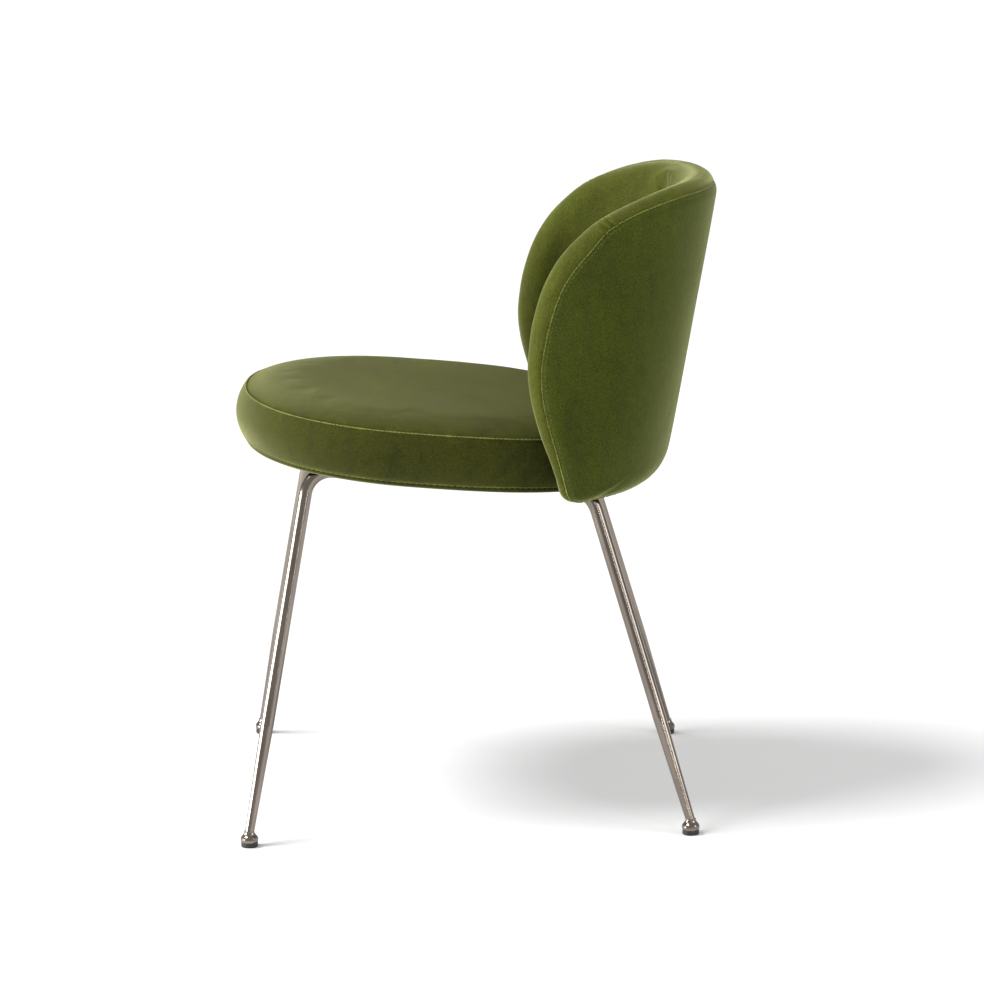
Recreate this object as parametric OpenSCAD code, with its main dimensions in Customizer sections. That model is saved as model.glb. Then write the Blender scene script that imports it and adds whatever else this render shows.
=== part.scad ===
// Upholstered dining chair: round cushion seat, wrap-around padded back,
// two bent-tube side frames that stand on four turned feet.
// Millimetres. The front faces -Y, the sitter's left is +X, +Z is up.
// The origin is on the floor, under the middle of the whole chair.

/* [Legs] */
// Half the distance between the two front feet
foot_front_x = 243; // [225:1:250]
// Distance of the front feet ahead of the origin
foot_front_y = 253.3; // [245:0.1:262]
// Half the distance between the two rear feet
foot_rear_x = 217; // [205:1:235]
// Distance of the rear feet behind the origin
foot_rear_y = 230.7; // [215:0.1:240]
// Outer diameter of the bent tube
tube_d = 14.5; // [13.5:0.1:14.8]
// Outer diameter of the tube where it enters the foot
tube_tip_d = 10; // [9:0.1:11]
// Wall of the tube
tube_wall = 1.6; // [1.2:0.1:2]
// Length of the taper above each foot
taper_len = 125; // [80:1:180]
// Bend radius at the front corner
bend_front_r = 28; // [24:1:32]
// Bend radius at the rear corner
bend_rear_r = 40; // [34:1:46]

/* [Feet] */
// Largest diameter of the turned metal foot
foot_d = 19.8; // [18:0.1:22]
// Height of the glide pad
pad_h = 5.5; // [4:0.1:6]

/* [Seat] */
// Half the width of the seat at its top seam
seat_half_w = 224; // [215:1:226]
// Length of the seat ahead of its widest line
seat_front_len = 188; // [180:1:190]
// Height of the side band between its two seams
seat_band_h = 62.5; // [58:0.5:66]
// Rise of the crown above the top seam
seat_crown = 14.5; // [8:0.5:16]
// Thickness of the seat board
board_t = 12; // [9:0.5:15]

/* [Back] */
// Full thickness of the padded back
back_t = 42; // [36:1:42]
// Half the width of the back, at mid thickness, beside the seat
back_half_w = 218; // [216:1:224]
// Half the width of the back, at mid thickness, near its top
back_top_half_w = 172; // [160:1:185]
// Thickness of the moulded core
core_t = 8; // [6:0.5:9]

/* [Fabric] */
// Thickness of the velvet covers
cover_t = 1.6; // [1.2:0.1:1.8]

/* [Hidden] */
$fn = 48;

velvet = [0.30, 0.37, 0.13];
velvet_dark = [0.22, 0.29, 0.09];
bronze = [0.42, 0.38, 0.33];
pad_black = [0.08, 0.08, 0.08];
ply = [0.76, 0.62, 0.42];
foam_c = [0.90, 0.86, 0.70];
zinc = [0.72, 0.72, 0.74];

// ---------- small vector helpers ----------
function unit(v) = v / norm(v);
function smooth(t) = let (u = min(1, max(0, t))) u * u * (3 - 2 * u);
function mix(a, b, t) = a + (b - a) * t;

// Places children so that their Z runs along direction d from point p
module along(p, d) {
  e3 = unit(d);
  e1 = unit(cross([0, 1, 0], e3));
  e2 = cross(e3, e1);
  multmatrix([[e1[0], e2[0], e3[0], p[0]], [e1[1], e2[1], e3[1], p[1]], [e1[2], e2[2], e3[2], p[2]], [0, 0, 0, 1]])
    children();
}

// ---------- side frame ----------
tube_r = tube_d / 2;
tip_r = tube_tip_d / 2;
seat_in_z = 15;                       // height where a leg's axis meets its foot's axis
lf = [foot_front_x, -foot_front_y, seat_in_z];
lr = [foot_rear_x, foot_rear_y, seat_in_z];
front_dir = [-0.2130, 0.1811, 1];     // lean of the front leg
rear_dir = [-0.1915, -0.2963, 1];     // lean of the rear leg
p1 = lf + front_dir * 387;            // front corner of the tube's centre line
p2 = lr + rear_dir * 361;             // rear corner of the tube's centre line
rail_dir = unit(p2 - p1);

// Tangent length of a bend of radius r between two unit directions
function half_bend(u, w) = (180 - acos(u * w)) / 2;
function bend_len(u, w, r) = r * tan(half_bend(u, w));
uf = unit(lf - p1);
ur = unit(lr - p2);
tf = bend_len(uf, rail_dir, bend_front_r);
tr = bend_len(ur, -rail_dir, bend_rear_r);
leg_start = 6;                        // the tube's end stands this far below the foot's neck point

elbow_skin = 0.05;                    // how much fuller a bend's wall is than the straight tube's, so that the two overlap cleanly
lap = 1;                              // how far a straight run reaches into a bend

// Straight tube from 0 to h
module tube_ring(h) {
  rotate_extrude() polygon([[tube_r - tube_wall, 0], [tube_r, 0], [tube_r, h], [tube_r - tube_wall, h]]);
}

// Bent piece of tube at corner p, from direction u to direction w
module elbow(p, u, w, r) {
  b = half_bend(u, w);
  c = p + unit(u + w) * r / cos(b);
  t1 = p + u * r * tan(b);
  t2 = p + w * r * tan(b);
  e1 = unit(t1 - c);
  e3 = unit(cross(t1 - c, t2 - c));
  e2 = cross(e3, e1);
  multmatrix([[e1[0], e2[0], e3[0], c[0]], [e1[1], e2[1], e3[1], c[1]], [e1[2], e2[2], e3[2], c[2]], [0, 0, 0, 1]])
    rotate_extrude(angle = 2 * b) translate([r, 0]) difference() {
      circle(r = tube_r + elbow_skin);
      circle(r = tube_r - tube_wall - elbow_skin);
    }
}

module leg_tube(foot, p, t) {
  d = unit(p - foot);
  len = norm(p - foot) - t + leg_start + lap;
  along(foot - d * leg_start, d) rotate_extrude() polygon([[tip_r - tube_wall, 0], [tip_r, 0], [tube_r, taper_len],
    [tube_r, len], [tube_r - tube_wall, len], [tube_r - tube_wall, taper_len]]);
}

module side_frame() color(bronze) {
  leg_tube(lf, p1, tf);
  elbow(p1, uf, rail_dir, bend_front_r);
  along(p1 + rail_dir * (tf - lap), rail_dir) tube_ring(norm(p2 - p1) - tf - tr + 2 * lap);
  elbow(p2, -rail_dir, ur, bend_rear_r);
  leg_tube(lr, p2, tr);
}

module left_side_frame() side_frame();
module right_side_frame() mirror([1, 0, 0]) side_frame();

// Solid bar on the straight part of the rail's centre line, used to cope what meets it
module rail_bar(r) along(p1, rail_dir) cylinder(r = r, h = norm(p2 - p1));

// Point on the rail's centre line at a given y
function rail_at(y) = p1 + rail_dir * ((y - p1[1]) / rail_dir[1]);

// ---------- cross tubes ----------
cross_front_y = -105;
cross_rear_y = 50;
cross_r = 6.5;
module cross_tube(y) color(bronze) difference() {
  c = rail_at(y);
  translate([-c[0], y, c[2]]) rotate([0, 90, 0]) difference() {
    cylinder(r = cross_r, h = 2 * c[0]);
    translate([0, 0, -1]) cylinder(r = cross_r - 1.4, h = 2 * c[0] + 2);
  }
  rail_bar(tube_r);
  mirror([1, 0, 0]) rail_bar(tube_r);
}
module front_cross_tube() cross_tube(cross_front_y);
module rear_cross_tube() cross_tube(cross_rear_y);

// ---------- feet ----------
foot_r = foot_d / 2;
foot_profile = [[0, pad_h], [foot_r - 0.9, pad_h], [foot_r - 0.25, pad_h + 1.3], [foot_r, pad_h + 3],
  [foot_r - 0.3, pad_h + 4.7], [foot_r - 1.2, pad_h + 6.2], [foot_r - 2.4, pad_h + 7.5],
  [foot_r - 3.4, pad_h + 8.9], [foot_r - 4.0, pad_h + 10.4], [foot_r - 4.3, pad_h + 12.2], [0, pad_h + 12.2]];

module each_foot() for (s = [1, -1]) {
  translate([s * foot_front_x, -foot_front_y, 0]) children();
  translate([s * foot_rear_x, foot_rear_y, 0]) children();
}

module one_foot(foot, d) difference() {
  translate([foot[0], foot[1], 0]) rotate_extrude() polygon(foot_profile);
  along(foot - unit(d) * leg_start, d) cylinder(r1 = tip_r, r2 = tip_r + 0.72, h = 40);
  translate([foot[0], foot[1], 0]) cylinder(r = 2.5, h = pad_h + 2.5);
}
module feet_metal() color(bronze) for (s = [0, 1]) mirror([s, 0, 0]) {
  one_foot(lf, front_dir);
  one_foot(lr, rear_dir);
}
module foot_studs() color(zinc) each_foot() translate([0, 0, 2]) cylinder(r = 2.5, h = pad_h + 0.4);
module glide_pads() color(pad_black) each_foot() difference() {
  rotate_extrude() polygon([[0, 0], [8.4, 0], [9.2, 0.8], [9.2, pad_h - 0.4], [8.9, pad_h], [0, pad_h]]);
  translate([0, 0, 2]) cylinder(r = 2.5, h = pad_h);
}

// ---------- seat ----------
// The seat is drawn level and then tipped back by seat_tilt about the origin's X line.
seat_z = 384.8;
seat_tilt = 5;
module in_seat() translate([0, 0, seat_z]) rotate([-seat_tilt, 0, 0]) children();

K = 56;                               // points round each seat ring
seat_c0 = -71.3;                      // widest line at the hem
seat_c1 = -75.8;                      // widest line at the top seam
function oval(al, a, bf, br, nf, nr) =
  let (dx = abs(sin(al)), dy = -cos(al), n = dy < 0 ? nf : nr, b = dy < 0 ? bf : br)
  pow(pow(dx / a, n) + pow(abs(dy) / b, n), -1 / n);
function hem_r(al) = oval(al, seat_half_w - 12, seat_front_len - 4, 236, 2.1, 2.6);
function top_r(al) = oval(al, seat_half_w, seat_front_len, 248.5, 2.2, 2.6);
// Angle from the front, 0 to 180 on either side
function side_angle(al) = al > 180 ? 360 - al : al;
function bulge(al) = let (q = side_angle(al))
  (9 + 3.4 * max(0, cos(q)) * max(0, cos(q))) * (1 - smooth((q - 104) / 18));
function band_r(al, w) = let (t = w / seat_band_h)
  mix(hem_r(al), top_r(al), t) + bulge(al) * pow(max(0, sin(180 * min(1, max(0, t)))), 0.8);
function seat_c(w) = mix(seat_c0, seat_c1, w / seat_band_h);
// Point at angle al, height w, moved out by off from the band's face
function seat_pt(al, w, off) = let (r = band_r(al, w) + off) [r * sin(al), seat_c(w) - r * cos(al), w];
function seat_frac(al, f, w) = let (r = band_r(al, min(w, seat_band_h)) * f)
  [r * sin(al), seat_c(min(w, seat_band_h)) - r * cos(al), w];
function crown_w(f) = seat_band_h + seat_crown * (1 - pow(f, 9));

// Closed skin over rings of k points with a pole at each end
module capped(pa, rings, pb, k) {
  n = len(rings);
  pts = concat([pa], [for (r = rings) each r], [pb]);
  last = n * k + 1;
  polyhedron(points = pts, faces = concat(
    [for (i = [0 : k - 1]) [0, 1 + i, 1 + (i + 1) % k]],
    [for (j = [0 : n - 2], i = [0 : k - 1]) [1 + j * k + i, 1 + (j + 1) * k + i, 1 + (j + 1) * k + (i + 1) % k]],
    [for (j = [0 : n - 2], i = [0 : k - 1]) [1 + j * k + i, 1 + (j + 1) * k + (i + 1) % k, 1 + j * k + (i + 1) % k]],
    [for (i = [0 : k - 1]) [1 + (n - 1) * k + i, last, 1 + (n - 1) * k + (i + 1) % k]]), convexity = 6);
}
// Closed skin over rings of k points that meet again at the first ring
module looped(rings, k) {
  n = len(rings);
  polyhedron(points = [for (r = rings) each r], faces = concat(
    [for (j = [0 : n - 1], i = [0 : k - 1]) [j * k + i, ((j + 1) % n) * k + i, ((j + 1) % n) * k + (i + 1) % k]],
    [for (j = [0 : n - 1], i = [0 : k - 1]) [j * k + i, ((j + 1) % n) * k + (i + 1) % k, j * k + (i + 1) % k]]), convexity = 6);
}
angs = [for (i = [0 : K - 1]) 360 * i / K];
function band_ring(w, off) = [for (al = angs) seat_pt(al, w, off)];
function frac_ring(f, w) = [for (al = angs) seat_frac(al, f, w)];

board_w = 12;                         // underside of the board above the hem
foam_w = board_w + board_t + 0.3;
split_w = 50;                         // level between the firm foam and the soft topper

// Holes in the board: screw places in the seat's level frame
tab_front_v = -135;
tab_rear_v = 85;
tab_front_x = 143;
tab_rear_x = 129;
module each_tab() for (s = [1, -1]) {
  translate([s * tab_front_x, tab_front_v, 0]) children();
  translate([s * tab_rear_x, tab_rear_v, 0]) children();
}

module seat_outline(inset) polygon([for (al = angs) let (r = hem_r(al) - inset) [r * sin(al), seat_c0 - r * cos(al)]]);

module seat_board() color(ply) in_seat() difference() {
  translate([0, 0, board_w]) linear_extrude(board_t) seat_outline(3.4);
  each_tab() translate([0, 0, board_w - 1]) cylinder(r = 4.05, h = board_t + 2);
  each_tab() translate([0, 0, board_w + board_t - 1.5]) cylinder(r = 10.1, h = 3);
  for (x = [-strap_x, strap_x], v = strap_seat_v) translate([x, v, board_w - 1]) cylinder(r = 2, h = 9.1);
}

module seat_foam() color(foam_c) in_seat()
  capped([0, seat_c0, foam_w],
    [frac_ring(0.5, foam_w), band_ring(foam_w, -cover_t - 0.5), band_ring(34, -cover_t - 0.5),
     band_ring(44, -cover_t - 0.5), band_ring(split_w, -cover_t - 0.5), frac_ring(0.5, split_w)],
    [0, seat_c1, split_w], K);

module seat_topper() color([0.96, 0.95, 0.92]) in_seat()
  capped([0, seat_c1, split_w + 0.3],
    [frac_ring(0.5, split_w + 0.3), band_ring(split_w + 0.3, -cover_t - 0.5), band_ring(56, -cover_t - 0.6),
     band_ring(seat_band_h - 2.2, -cover_t - 0.5),
     frac_ring(0.95, crown_w(0.95) - cover_t - 0.3), frac_ring(0.85, crown_w(0.85) - cover_t - 0.3),
     frac_ring(0.7, crown_w(0.7) - cover_t - 0.3), frac_ring(0.4, crown_w(0.4) - cover_t - 0.3)],
    [0, seat_c1, crown_w(0) - cover_t - 0.3], K);

module seat_top_cover() color(velvet) in_seat()
  capped([0, seat_c1, crown_w(0) - cover_t],
    [frac_ring(0.4, crown_w(0.4) - cover_t), frac_ring(0.7, crown_w(0.7) - cover_t),
     frac_ring(0.85, crown_w(0.85) - cover_t), frac_ring(0.95, crown_w(0.95) - cover_t),
     band_ring(seat_band_h - 1.6, -cover_t), band_ring(seat_band_h, 0),
     frac_ring(0.98, crown_w(0.98)), frac_ring(0.95, crown_w(0.95)), frac_ring(0.85, crown_w(0.85)),
     frac_ring(0.7, crown_w(0.7)), frac_ring(0.4, crown_w(0.4))],
    [0, seat_c1, crown_w(0)], K);

// Cross-section of the side cover as [height, distance from the band's face]:
// down the band, round the hem, up inside it and in under the board
band_section = concat(
  [for (w = [seat_band_h - 0.3, 54, 44, 34, 24, 15]) [w, 0]],
  [[6, -0.2], [4.6, -0.9], [3, -0.3], [1, -0.5], [0, -1.6], [0, -4.4], [1.4, -6.1], [5, -6.4],
   [board_w - 1.4, -6.8], [board_w - 1.4, -32], [board_w - 0.1, -32], [board_w - 0.1, -5],
   [6, -4.8], [3, -4.7], [1.6, -4], [1.6, -2.7], [3, -2], [6, -1.9]],
  [for (w = [15, 24, 34, 44, 54, seat_band_h - 1.9]) [w, -cover_t]]);

module seat_side_cover() color(velvet_dark) in_seat() difference() {
  looped([for (s = band_section) band_ring(s[0], s[1])], K);
  strap_slots();
  each_tab() translate([0, 0, 2]) cylinder(r = 14, h = 9.9);
}

module seat_hem_cord() color(velvet_dark) in_seat()
  looped([for (q = [0 : 60 : 300]) band_ring(4.4 + 1.15 * sin(q), -3.35 - 1.15 * cos(q))], K);

dust_w = board_w - 1.9;
module dust_cover() color([0.10, 0.10, 0.10]) in_seat() difference() {
  translate([0, 0, dust_w]) linear_extrude(0.5) seat_outline(14);
  each_tab() translate([0, 0, dust_w - 1]) cylinder(r = 4, h = 3);
  for (s = [1, -1]) translate([s * strap_x - 13, strap_v0 - 1, dust_w - 1]) cube([26, 200, 3]);
}

staple_angles = [9, 27, 45, 81, 99, 117, 153, 171];
module cover_staples() color(zinc) in_seat() for (s = [1, -1], al = staple_angles) {
  r = hem_r(al) - 22;
  translate([s * r * sin(al), seat_c0 - r * cos(al), dust_w - 0.5]) rotate([0, 0, s * al]) translate([-5.5, -0.6, 0]) cube([11, 1.2, 0.5]);
}

// ---------- fixings between the frame and the seat ----------
tab_bottom = 6;
tab_top = 10.05;
module one_tab(x, v) difference() {
  translate([x - 17, v - 13, tab_bottom]) cube([38, 26, tab_top - tab_bottom]);
  translate([x, v, 0]) cylinder(r = 3.3, h = 20);
}
module frame_tabs() color(bronze) for (s = [0, 1]) mirror([s, 0, 0]) difference() {
  in_seat() union() {
    one_tab(tab_front_x, tab_front_v);
    one_tab(tab_rear_x, tab_rear_v);
  }
  rail_bar(tube_r);
}
module frame_washers() color(zinc) in_seat() each_tab() translate([0, 0, tab_bottom - 1.2]) difference() {
  cylinder(r = 7, h = 1.2);
  translate([0, 0, -1]) cylinder(r = 3.2, h = 4);
}
screw_head = tab_bottom - 1.2;
module frame_screws() color(zinc) in_seat() each_tab() difference() {
  union() {
    translate([0, 0, screw_head - 3.3]) cylinder(r = 5.5, h = 3.3);
    translate([0, 0, screw_head - 1]) cylinder(r = 2.9, h = board_w + board_t - 1 - screw_head + 1);
  }
  translate([0, 0, screw_head - 4]) cylinder(r = 2.3, h = 2.6, $fn = 6);
}
module seat_t_nuts() color(zinc) in_seat() each_tab() difference() {
  union() {
    translate([0, 0, board_w + 2]) cylinder(r = 4, h = board_t - 3);
    translate([0, 0, board_w + board_t - 1.5]) cylinder(r = 10, h = 1.4);
  }
  translate([0, 0, board_w]) cylinder(r = 3, h = board_t + 2);
}

// ---------- back ----------
// Mid surface of the back: at every height a half oval that opens to the front.
back_y0 = 53.7;
back_n = 2.4;
back_h = back_t / 2;
function mid_a(z) = mix(back_half_w, back_top_half_w, smooth((z - 415) / 225));
function mid_b(z) = 205 + 0.192 * (z - 450) - back_y0;
function mid_pt(ph, z) =
  let (a = mid_a(z), b = mid_b(z),
       r = pow(pow(abs(sin(ph)) / a, back_n) + pow(abs(cos(ph)) / b, back_n), -1 / back_n))
  [r * sin(ph), back_y0 + r * cos(ph), z];
function mid_n(ph, z) =
  let (e = 0.4, du = mid_pt(ph + e, z) - mid_pt(ph - e, z), dz = mid_pt(ph, z + e) - mid_pt(ph, z - e))
  unit(cross(dz, du));
// Angle round the back of the rim's crest, from its distance behind back_y0 or from its x
function ang_y(t, z) = let (a = mid_a(z), b = mid_b(z))
  atan2(a * pow(1 - pow(t / b, back_n), 1 / back_n), t);
function ang_x(x, z) = let (a = mid_a(z), b = mid_b(z))
  atan2(x, b * pow(1 - pow(x / a, back_n), 1 / back_n));

// The crest of the rim on the left half, from the bottom centre round to the top centre
rim_top = 708.3;
crest_bottom = [for (p = [[0, 375.3], [40, 375.3], [80, 375.3], [115, 375.3], [145, 375.3], [170, 375], [190, 374.3], [203, 373.3]])
  [ang_x(p[0], p[1]), p[1]]];
crest_front = [for (p = [[60, 372.4], [51, 371.6], [43, 373.2], [37.5, 377.5], [34, 384], [31.5, 392], [28.5, 401],
  [22.5, 420], [15.3, 440], [9.8, 460], [5.3, 480], [2.6, 500], [2, 520], [4, 540], [7, 560], [12.2, 580], [19, 600],
  [28.3, 619], [41, 638], [58, 656], [78, 672.8]])
  [ang_y(p[0], p[1]), p[1]]];
crest_top = [for (p = [[153, 688], [138, 698], [117, 704.3], [90, 707], [60, 708], [30, 708.3], [0, rim_top]])
  [ang_x(p[0], p[1]), p[1]]];
half_crest = concat(crest_bottom, crest_front, crest_top);
hc = len(half_crest);
crest = concat(half_crest, [for (i = [hc - 2 : -1 : 1]) [-half_crest[i][0], half_crest[i][1]]]);
C = len(crest);

// Flat layout of the mid surface, used to measure distances in from the crest
hub_z = 545;
arc_r = 188;
function flat(p) = [p[0] * PI / 180 * arc_r, p[1] - hub_z];
crest_len = [for (i = [0 : C - 1])
  let (q = flat(crest[i]), t = unit(flat(crest[(i + 1) % C]) - flat(crest[(i + C - 1) % C])),
       n = [t[1], -t[0]], c = max(0.45, abs(n * unit(q))))
  norm(q) * c];
// How far the rim's rounding runs in from its crest: fuller under the rear bottom edge
rim_r = [for (c = crest) 24 + 11 * smooth((430 - c[1]) / 40) * smooth((72 - abs(c[0])) / 29) - 3.5 * smooth((c[1] - 655) / 45)];
// How far behind the crest the seam runs on the outside: none at the bottom, most at the wings' shoulders
seam_d = [for (c = crest) 1.2 + 5 * smooth((c[1] - 373) / 9) + 3 * smooth((c[1] - 400) / 45)
  + 8.5 * smooth((c[1] - 460) / 130) - 9 * smooth((c[1] - 635) / 55)];
// Half thickness at distance d from the crest, for a skin set in by s
function half_t(i, d, s) = d <= s ? 0 : (back_h - s) * sqrt(1 - pow(max(0, 1 - (d - s) / (rim_r[i] - s)), 2));
function back_pt(i, f, o) =
  let (ph = crest[i][0] * f, z = hub_z + (crest[i][1] - hub_z) * f) mid_pt(ph, z) + mid_n(ph, z) * o;
// Rings of points: a share f of the way out from the hub, or a distance d in from the crest
function share_ring(f, o) = [for (i = [0 : C - 1]) back_pt(i, f, o)];
function flat_ring(d, o) = [for (i = [0 : C - 1]) back_pt(i, 1 - d / crest_len[i], o)];
// q is a share of the rim's rounding, side is -1 inside and 1 outside
function rim_ring(q, side, s) = [for (i = [0 : C - 1]) let (d = q * rim_r[i])
  back_pt(i, 1 - d / crest_len[i], side * half_t(i, d, s))];
// q is a share of the way from the crest to the seam, g an added distance
function seam_ring(q, g, s) = [for (i = [0 : C - 1]) let (d = q * seam_d[i] + g)
  back_pt(i, 1 - d / crest_len[i], half_t(i, d, s))];
function mid_ring(s) = [for (i = [0 : C - 1]) let (d = (seam_d[i] + rim_r[i]) / 2)
  back_pt(i, 1 - d / crest_len[i], half_t(i, d, s))];
function hub(o) = mid_pt(0, hub_z) + mid_n(0, hub_z) * o;
shares = [0.25, 0.5, 0.75];           // rings between the hub and the rim's rounding
inward = [0.75, 0.5, 0.25];
core_d = 18;

module back_core() color(ply) difference() {
  h = core_t / 2;
  capped(hub(-h), concat([for (f = shares) share_ring(f, -h)], [flat_ring(core_d, -h), flat_ring(core_d, h)],
    [for (f = inward) share_ring(f, h)]), hub(h), C);
  core_screw_places() translate([0, 0, -7]) cylinder(r = 1.9, h = 12);
}

module back_inner_foam() color(foam_c) difference() {
  g = cover_t + 0.3;
  m = core_t / 2 + 0.3;
  capped(hub(-back_h + g),
    concat([for (f = shares) share_ring(f, -back_h + g)], [for (q = [1, 0.6, 0.35, 0.17]) rim_ring(q, -1, g)],
      [flat_ring(g + 0.8, -0.1), flat_ring(core_d - 1, -0.1), flat_ring(core_d - 0.4, -m)],
      [for (f = inward) share_ring(f, -m)]),
    hub(-m), C);
  for (s = [1, -1]) strap_space(s * strap_x, 0.3);
  core_screw_places() translate([0, 0, -2.5]) cylinder(r = 4, h = 3);
}

module back_outer_foam() color(foam_c) {
  g = cover_t + 0.3;
  m = core_t / 2 + 0.3;
  capped(hub(m),
    concat([for (f = shares) share_ring(f, m)],
      [flat_ring(core_d - 0.4, m), flat_ring(core_d - 1, 0.1), flat_ring(g + 0.8, 0.1)],
      [for (q = [0.17, 0.35, 0.6, 1]) rim_ring(q, 1, g)],
      [for (f = inward) share_ring(f, back_h - g)]),
    hub(back_h - g), C);
}

// Inner cover: the inside face, the whole rounded rim, and in to the seam on the outside
module back_inner_cover() color(velvet) difference() {
  s = cover_t;
  capped(hub(-back_h),
    concat([for (f = shares) share_ring(f, -back_h)],
      [for (q = [1, 0.6, 0.35, 0.17, 0.04]) rim_ring(q, -1, 0)], [flat_ring(0, 0)],
      [for (q = [0.2, 0.6, 1]) seam_ring(q, 0, 0)],
      [seam_ring(1, 0.01, s)], [seam_ring(0.6, 0, s)], [flat_ring(s + 0.05, 0)],
      [for (q = [0.17, 0.35, 0.6, 1]) rim_ring(q, -1, s)],
      [for (f = inward) share_ring(f, -back_h + s)]),
    hub(-back_h + s), C);
  for (q = [1, -1]) strap_space(q * strap_x, 0.3);
}

module back_outer_cover() color(velvet_dark) {
  s = cover_t;
  capped(hub(back_h - s),
    concat([for (f = shares) share_ring(f, back_h - s)], [rim_ring(1, 1, s), mid_ring(s), seam_ring(1, s, s)],
      [seam_ring(1, 0.3, 0), mid_ring(0), rim_ring(1, 1, 0)], [for (f = inward) share_ring(f, back_h)]),
    hub(back_h), C);
}

// ---------- straps that hold the back to the seat board ----------
strap_x = 40;
strap_w = 24;
strap_t = 2.5;
strap_v0 = 70;                        // front end of the strap under the board
strap_up = 95;                        // how far the strap rises inside the back
strap_seat_v = [88, 122];
// The strap's rear face clears the core across its whole width
strap_face = mid_pt(ang_x(strap_x + strap_w / 2, 400), 400)[1] - core_t / 2 - 0.7;
lean = atan(0.192);
function board_line(y) = seat_z - tan(seat_tilt) * y + (board_w - 0.15) / cos(seat_tilt);
function strap_side(y, g) =
  let (yb = y, zt = board_line(yb))
  [[strap_v0, board_line(strap_v0) + g], [strap_v0, board_line(strap_v0) - strap_t - g],
   [yb - 1, board_line(yb - 1) - strap_t - g], [yb + g + 1, zt + 1],
   [yb + g + 0.192 * strap_up, zt + strap_up + g], [yb - strap_t - g + 0.192 * strap_up, zt + strap_up + g],
   [yb - strap_t - g - 0.6, zt + 0.6 + g]];
strap_y = strap_face - 0.192 * (400 - 384);
module strap_space(x, g) translate([x - strap_w / 2 - g, 0, 0])
  rotate([90, 0, 90]) linear_extrude(strap_w + 2 * g) polygon(strap_side(strap_y, g));
module strap_holes(x) {
  in_seat() for (v = strap_seat_v) translate([x, v, 0]) cylinder(r = 2.2, h = 20);
  core_screw_places() translate([0, 0, -12]) cylinder(r = 2.2, h = 20);
}
module left_back_strap() color(zinc) difference() { strap_space(strap_x, 0); strap_holes(strap_x); }
module right_back_strap() color(zinc) difference() { strap_space(-strap_x, 0); strap_holes(-strap_x); }
// Slots in the seat's side cover where the straps leave it
module strap_slots() for (s = [1, -1]) translate([s * strap_x - 13, 60, board_w - 3.4]) cube([26, 130, 3.4]);

module strap_seat_screws() color(zinc) in_seat() for (s = [1, -1], v = strap_seat_v) translate([s * strap_x, v, 0]) {
  translate([0, 0, board_w - strap_t - 2.75]) cylinder(r = 4, h = 2.4);
  translate([0, 0, board_w - strap_t - 0.5]) cylinder(r = 1.95, h = strap_t + 8.2);
}
// Each place has its Z pointing rearwards into the core, with 0 on the strap's front face
core_screw_z = [415, 455];
module core_screw_places() for (s = [1, -1], z = core_screw_z)
  translate([s * strap_x, strap_y + 0.192 * (z - board_line(strap_y)) - strap_t, z])
    rotate([-90 + lean, 0, 0]) children();
module strap_core_screws() color(zinc) core_screw_places() {
  translate([0, 0, -2.0]) cylinder(r = 3.6, h = 1.6);
  translate([0, 0, -0.8]) cylinder(r = 1.85, h = 8);
}

left_side_frame();
right_side_frame();
front_cross_tube();
rear_cross_tube();
frame_tabs();
feet_metal();
foot_studs();
glide_pads();
frame_screws();
frame_washers();
seat_t_nuts();
seat_board();
seat_foam();
seat_topper();
seat_top_cover();
seat_side_cover();
seat_hem_cord();
dust_cover();
cover_staples();
back_core();
back_inner_foam();
back_outer_foam();
back_inner_cover();
back_outer_cover();
left_back_strap();
right_back_strap();
strap_seat_screws();
strap_core_screws();
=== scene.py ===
import math
import bpy
import bmesh
import numpy as np
from mathutils import Matrix, Vector


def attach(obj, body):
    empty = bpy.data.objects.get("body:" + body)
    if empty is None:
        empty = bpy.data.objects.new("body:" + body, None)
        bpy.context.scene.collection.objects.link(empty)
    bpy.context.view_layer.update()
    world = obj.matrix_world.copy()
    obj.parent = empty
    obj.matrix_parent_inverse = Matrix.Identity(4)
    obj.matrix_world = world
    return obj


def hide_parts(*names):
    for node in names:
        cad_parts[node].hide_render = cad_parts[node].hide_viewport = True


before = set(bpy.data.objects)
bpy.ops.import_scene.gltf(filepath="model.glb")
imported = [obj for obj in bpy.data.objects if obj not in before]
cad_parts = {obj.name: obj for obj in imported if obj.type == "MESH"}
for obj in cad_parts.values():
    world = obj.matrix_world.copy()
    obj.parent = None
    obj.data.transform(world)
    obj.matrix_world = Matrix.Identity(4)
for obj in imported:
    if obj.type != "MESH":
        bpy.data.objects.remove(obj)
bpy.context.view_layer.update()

scene = bpy.context.scene
MM = 0.001


# ------------------------------------------------------------------ helpers
def smooth(t):
    u = np.clip(t, 0.0, 1.0)
    return u * u * (3 - 2 * u)


def mix(a, b, t):
    return a + (b - a) * t


def unit_rows(v):
    n = np.linalg.norm(v, axis=-1, keepdims=True)
    n[n < 1e-12] = 1.0
    return v / n


def link(obj):
    scene.collection.objects.link(obj)
    return obj


def shade_smooth(mesh):
    mesh.polygons.foreach_set("use_smooth", [True] * len(mesh.polygons))


def mesh_object(name, verts, faces, smooth_shade=True):
    mesh = bpy.data.meshes.new(name)
    mesh.from_pydata([tuple(v) for v in verts], [], faces)
    mesh.update()
    if smooth_shade:
        shade_smooth(mesh)
    return link(bpy.data.objects.new(name, mesh))


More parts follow.
